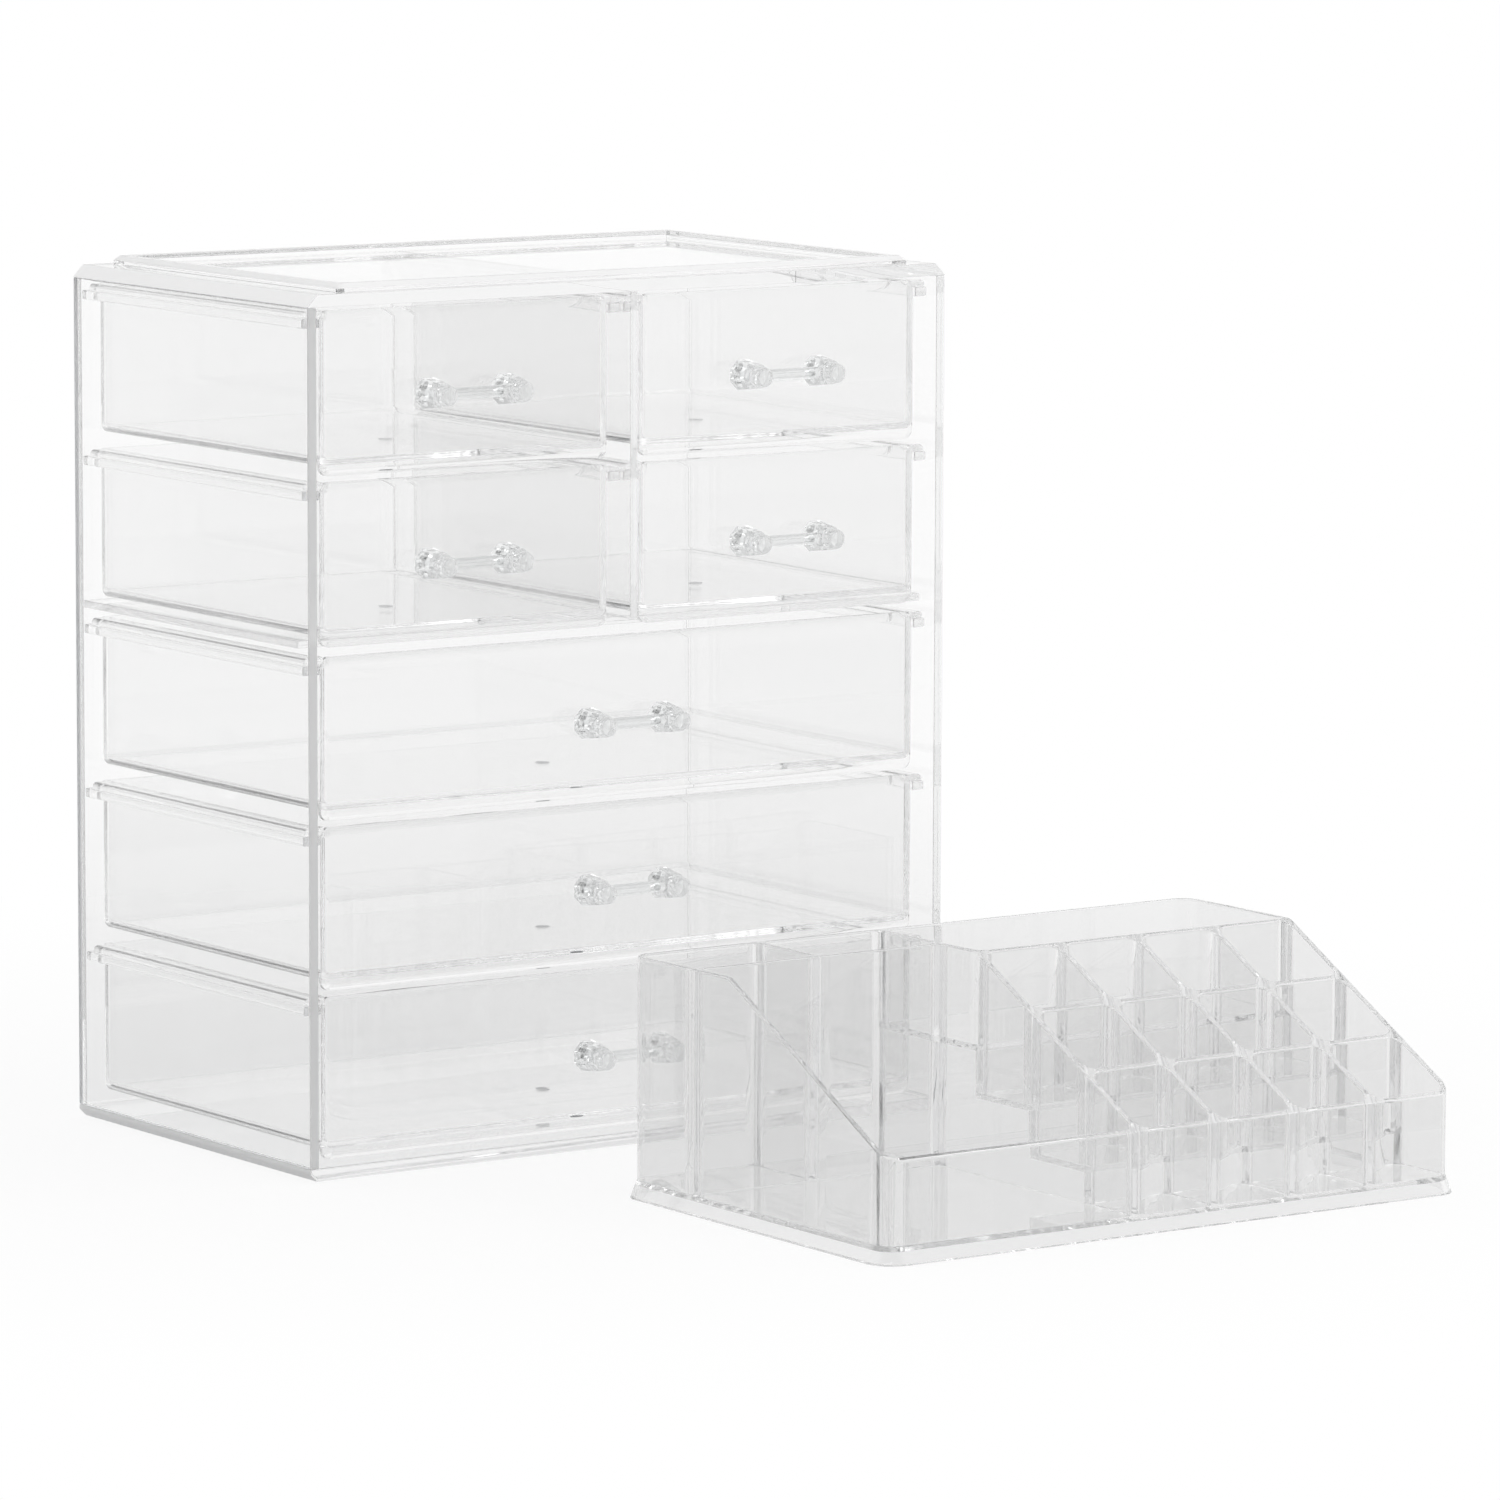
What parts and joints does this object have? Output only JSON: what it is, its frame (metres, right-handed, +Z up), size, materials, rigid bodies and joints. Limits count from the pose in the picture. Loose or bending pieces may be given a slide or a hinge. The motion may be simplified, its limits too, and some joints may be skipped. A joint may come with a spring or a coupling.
{
  "type": "makeup organizer",
  "caption": "Clear desktop chest of drawers with small bar handles, and a separate stepped tray with lipstick slots that stacks on the chest's raised top rim.",
  "frame": {"origin": "centre of the chest's underside", "axes": "+X to the right seen from the front, +Y to the back, +Z up; the drawers open towards -Y"},
  "size_m": [0.2867, 0.3529, 0.2778],
  "materials": {
    "case_plastic": "clear, polished, panels bonded edge to edge",
    "drawer_plastic": "clear, moulded, polished",
    "handle_plastic": "clear, moulded, faceted",
    "tray_plastic": "clear, moulded, polished"
  },
  "bodies": {
    "case": {"base_panel": "case_plastic", "top_panel": "case_plastic", "left_side_panel": "case_plastic", "right_side_panel": "case_plastic", "back_panel": "case_plastic", "stacking_rim": "case_plastic", "shelf": "case_plastic", "divider": "case_plastic", "runner_1_left_a": "case_plastic", "runner_1_left_b": "case_plastic", "runner_1_right_a": "case_plastic", "runner_1_right_b": "case_plastic", "runner_2_left_a": "case_plastic", "runner_2_left_b": "case_plastic", "runner_2_right_a": "case_plastic", "runner_2_right_b": "case_plastic", "runner_3_a": "case_plastic", "runner_3_b": "case_plastic", "runner_4_a": "case_plastic", "runner_4_b": "case_plastic", "runner_5_a": "case_plastic", "runner_5_b": "case_plastic"},
    "drawer_1_left": {"drawer_1_left": "drawer_plastic", "handle_1_left": "handle_plastic"},
    "drawer_1_right": {"drawer_1_right": "drawer_plastic", "handle_1_right": "handle_plastic"},
    "drawer_2_left": {"drawer_2_left": "drawer_plastic", "handle_2_left": "handle_plastic"},
    "drawer_2_right": {"drawer_2_right": "drawer_plastic", "handle_2_right": "handle_plastic"},
    "drawer_3": {"drawer_3": "drawer_plastic", "handle_3": "handle_plastic"},
    "drawer_4": {"drawer_4": "drawer_plastic", "handle_4": "handle_plastic"},
    "drawer_5": {"drawer_5": "drawer_plastic", "handle_5": "handle_plastic"},
    "tray": {"tray": "tray_plastic"}
  },
  "joints": [
    {"name": "drawer_1_left_slide", "type": "slide", "parent": "case", "child": "drawer_1_left", "axis": [0, -1, 0], "range_m": [0, 0.06]},
    {"name": "drawer_1_right_slide", "type": "slide", "parent": "case", "child": "drawer_1_right", "axis": [0, -1, 0], "range_m": [0, 0.06]},
    {"name": "drawer_2_left_slide", "type": "slide", "parent": "case", "child": "drawer_2_left", "axis": [0, -1, 0], "range_m": [0, 0.06]},
    {"name": "drawer_2_right_slide", "type": "slide", "parent": "case", "child": "drawer_2_right", "axis": [0, -1, 0], "range_m": [0, 0.06]},
    {"name": "drawer_3_slide", "type": "slide", "parent": "case", "child": "drawer_3", "axis": [0, -1, 0], "range_m": [0, 0.06]},
    {"name": "drawer_4_slide", "type": "slide", "parent": "case", "child": "drawer_4", "axis": [0, -1, 0], "range_m": [0, 0.06]},
    {"name": "drawer_5_slide", "type": "slide", "parent": "case", "child": "drawer_5", "axis": [0, -1, 0], "range_m": [0, 0.06]},
    {"name": "tray_lift", "type": "slide", "parent": "case", "child": "tray", "axis": [0, 0, 1], "range_m": [0, 0.3]}
  ]
}
